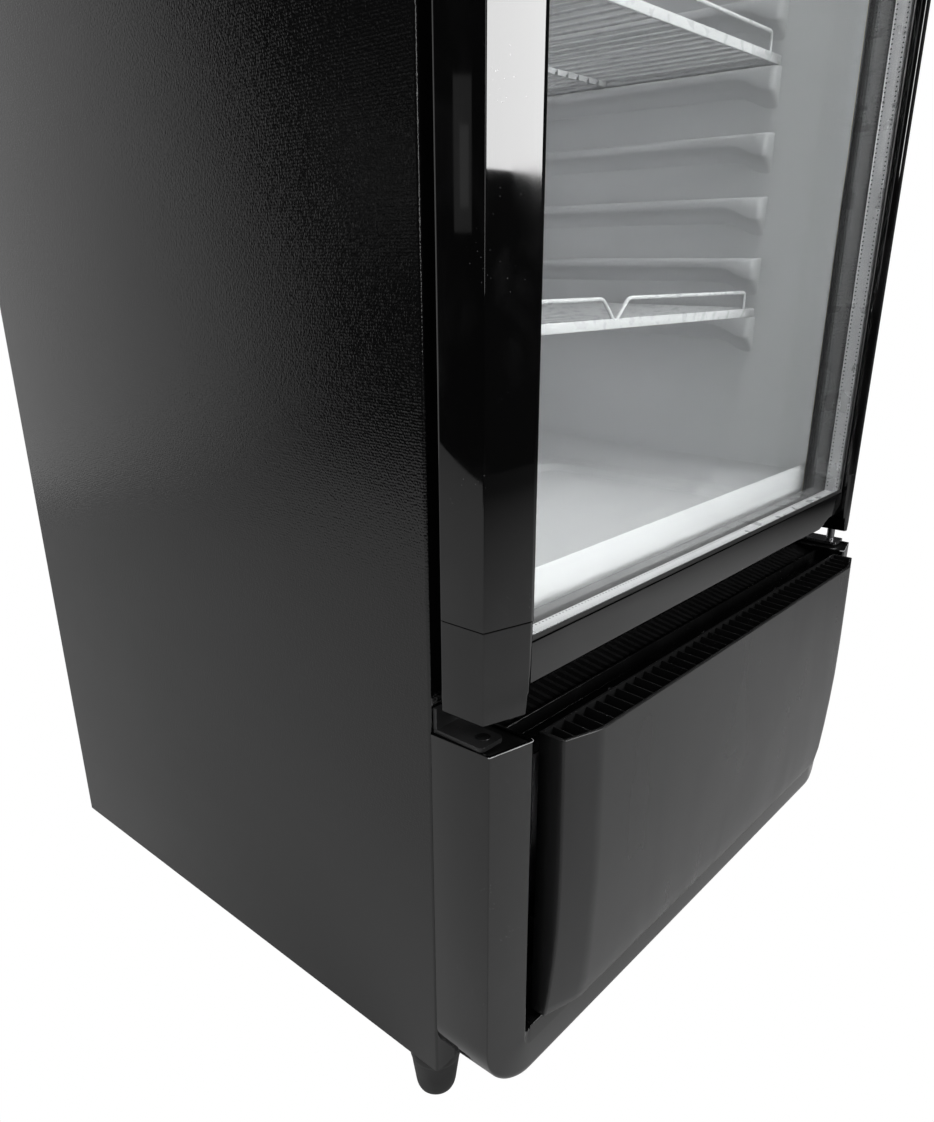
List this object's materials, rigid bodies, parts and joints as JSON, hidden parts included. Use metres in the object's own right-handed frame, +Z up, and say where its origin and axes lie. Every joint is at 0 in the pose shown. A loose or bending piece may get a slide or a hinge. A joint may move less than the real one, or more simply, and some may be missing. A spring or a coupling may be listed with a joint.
{
  "type": "glass door merchandiser",
  "caption": "Upright single glass door merchandiser with right-hinged door, wire shelves on moulded ledges, header light box and bevelled lower grille.",
  "frame": {"origin": "on the floor, at the middle of the footprint", "axes": "+Z up, the glass door faces -Y, +X is the hinge side (viewer's right)"},
  "size_m": [0.62, 0.633, 1.935],
  "materials": {
    "embossed_steel": "black pre-painted steel sheet with a fine embossed leather grain, semi-gloss",
    "gloss_black": "piano-black moulded and extruded trim, high gloss with faint dust and swirl marks",
    "charcoal_panel": "moulded charcoal-black cover, satin with a very fine grain",
    "matte_black": "black moulded plastic, low sheen",
    "black_steel": "black painted steel, satin",
    "bright_steel": "zinc-plated steel",
    "foam": "rigid polyurethane foam",
    "liner_white": "light grey-white vacuum-formed plastic, satin",
    "diffuser": "blank translucent white diffuser",
    "aluminium": "mill-finish aluminium, perforated on the glass spacer",
    "copper": "bare copper tube",
    "glass": "clear tempered double-pane glass",
    "rubber": "black magnetic door gasket",
    "foot_plastic": "black moulded levelling foot",
    "coated_wire": "steel wire with white plastic coating, satin"
  },
  "bodies": {
    "cabinet": {"side_panel_left": "embossed_steel", "side_panel_right": "embossed_steel", "rear_panel": "embossed_steel", "top_cover": "embossed_steel", "rear_grille": "embossed_steel", "power_inlet": "matte_black", "base_tray": "black_steel", "lower_frame": "gloss_black", "grille_panel": "charcoal_panel", "vent_ledge": "matte_black", "hinge_plate_lower_right": "bright_steel", "hinge_plate_lower_left": "black_steel", "hinge_plate_upper_right": "bright_steel", "hinge_pin_lower": "bright_steel", "hinge_pin_upper": "bright_steel", "insulation_foam": "foam", "front_collar": "matte_black", "liner_right": "liner_white", "liner_left": "liner_white", "liner_floor": "liner_white", "liner_ceiling": "liner_white", "liner_back": "liner_white", "air_duct": "liner_white", "header_box": "gloss_black", "header_sign": "diffuser", "header_lamp": "diffuser", "compressor": "black_steel", "condenser_coil": "aluminium", "condenser_fan_shroud": "matte_black", "condenser_fan_motor": "bright_steel", "drip_tray": "matte_black", "discharge_line": "copper", "evaporator_housing": "liner_white", "evaporator_coil": "aluminium", "evaporator_fan_motor": "bright_steel", "control_box": "liner_white"},
    "door": {"door_stile_left": "gloss_black", "door_stile_right": "gloss_black", "door_rail_bottom": "gloss_black", "door_rail_top": "gloss_black", "door_cap_bottom_left": "gloss_black", "door_cap_top_left": "gloss_black", "door_cap_bottom_right": "gloss_black", "door_cap_top_right": "gloss_black", "glass_outer": "glass", "glass_inner": "glass", "glass_spacer": "aluminium", "door_gasket": "rubber"},
    "condenser_fan": {"condenser_fan_blade": "matte_black"},
    "evaporator_fan": {"evaporator_fan_blade": "matte_black"},
    "knob": {"thermostat_knob": "matte_black"},
    "switch": {"light_switch": "matte_black"},
    "foot_front_left": {"foot_front_left": "foot_plastic"},
    "foot_front_right": {"foot_front_right": "foot_plastic"},
    "foot_rear_left": {"foot_rear_left": "foot_plastic"},
    "foot_rear_right": {"foot_rear_right": "foot_plastic"},
    "shelf_1": {"shelf_1": "coated_wire"},
    "shelf_2": {"shelf_2": "coated_wire"},
    "shelf_3": {"shelf_3": "coated_wire"},
    "shelf_4": {"shelf_4": "coated_wire"}
  },
  "joints": [
    {"name": "door_hinge", "type": "hinge", "parent": "cabinet", "child": "door", "pos_m": [0.2945, -0.2665, 1], "axis": [0, 0, 1], "range_deg": [0, 110]},
    {"name": "condenser_fan_spin", "type": "hinge", "parent": "cabinet", "child": "condenser_fan", "pos_m": [-0.1, -0.0945, 0.185], "axis": [0, 1, 0], "continuous": true},
    {"name": "evaporator_fan_spin", "type": "hinge", "parent": "cabinet", "child": "evaporator_fan", "pos_m": [0, 0.0915, 1.636], "axis": [0, 1, 0], "continuous": true},
    {"name": "thermostat_turn", "type": "hinge", "parent": "cabinet", "child": "knob", "pos_m": [0.185, -0.2265, 1.68], "axis": [0, 1, 0], "range_deg": [0, 270]},
    {"name": "light_switch_rock", "type": "hinge", "parent": "cabinet", "child": "switch", "pos_m": [0.125, -0.2179, 1.68], "axis": [1, 0, 0], "range_deg": [0, 12]},
    {"name": "foot_front_left_turn", "type": "hinge", "parent": "cabinet", "child": "foot_front_left", "pos_m": [-0.289, -0.2125, 0.02], "axis": [0, 0, 1], "continuous": true},
    {"name": "foot_front_right_turn", "type": "hinge", "parent": "cabinet", "child": "foot_front_right", "pos_m": [0.289, -0.2125, 0.02], "axis": [0, 0, 1], "continuous": true},
    {"name": "foot_rear_left_turn", "type": "hinge", "parent": "cabinet", "child": "foot_rear_left", "pos_m": [-0.248, 0.2545, 0.02], "axis": [0, 0, 1], "continuous": true},
    {"name": "foot_rear_right_turn", "type": "hinge", "parent": "cabinet", "child": "foot_rear_right", "pos_m": [0.248, 0.2545, 0.02], "axis": [0, 0, 1], "continuous": true},
    {"name": "shelf_1_slide", "type": "slide", "parent": "cabinet", "child": "shelf_1", "axis": [0, -1, 0], "range_m": [0, 0.06]},
    {"name": "shelf_2_slide", "type": "slide", "parent": "cabinet", "child": "shelf_2", "axis": [0, -1, 0], "range_m": [0, 0.06]},
    {"name": "shelf_3_slide", "type": "slide", "parent": "cabinet", "child": "shelf_3", "axis": [0, -1, 0], "range_m": [0, 0.06]},
    {"name": "shelf_4_slide", "type": "slide", "parent": "cabinet", "child": "shelf_4", "axis": [0, -1, 0], "range_m": [0, 0.06]}
  ]
}
